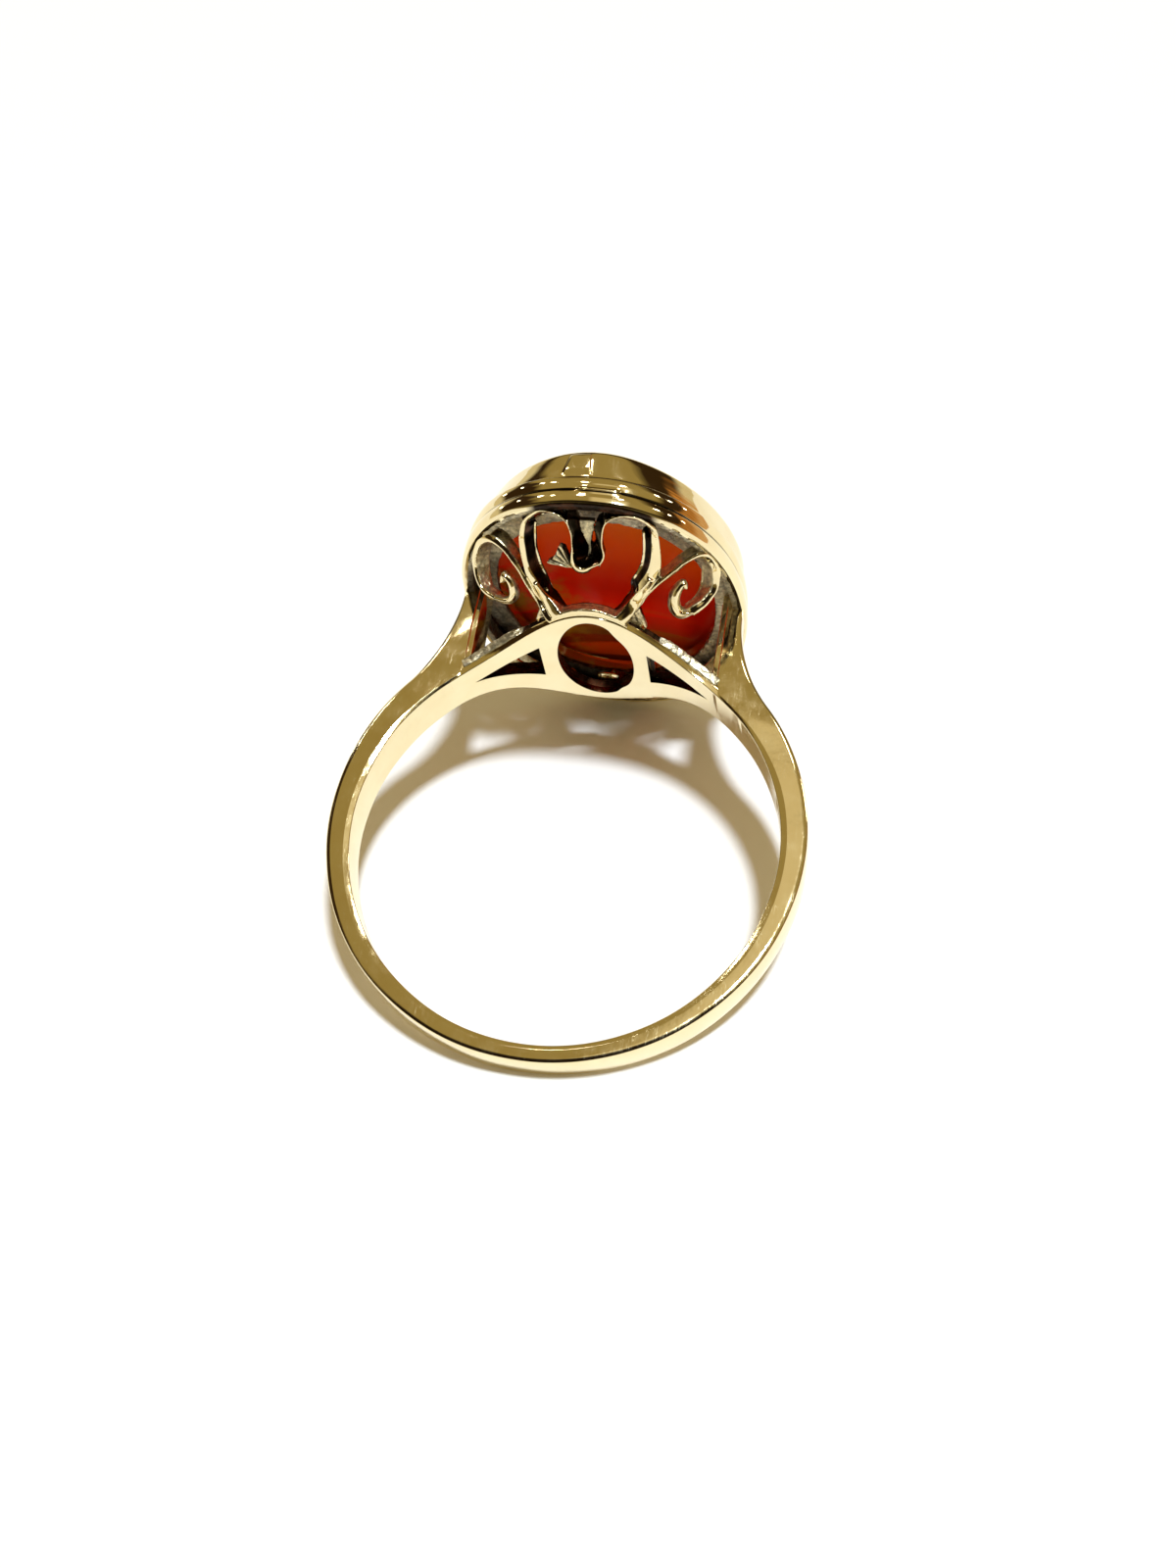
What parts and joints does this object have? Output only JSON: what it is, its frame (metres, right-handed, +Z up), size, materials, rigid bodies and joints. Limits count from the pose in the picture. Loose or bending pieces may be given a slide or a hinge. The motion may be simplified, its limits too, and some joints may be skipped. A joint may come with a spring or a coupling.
{
  "type": "cameo ring",
  "caption": "Gold finger ring with an oval carved shell cameo held in a plain bezel over two rails, a pierced scrollwork gallery and an oval base plate.",
  "frame": {"origin": "on the floor, under the middle of the ring's bounding box, with the ring lying on its side", "axes": "+Z up from the floor, +Y from the bottom of the hoop towards the head with the cameo, +X across the finger"},
  "size_m": [0.0196, 0.025, 0.0157],
  "materials": {
    "gold": "polished, worn",
    "shell": "polished"
  },
  "bodies": {
    "root": {"ring_mount": "gold", "cameo": "shell"}
  },
  "joints": []
}
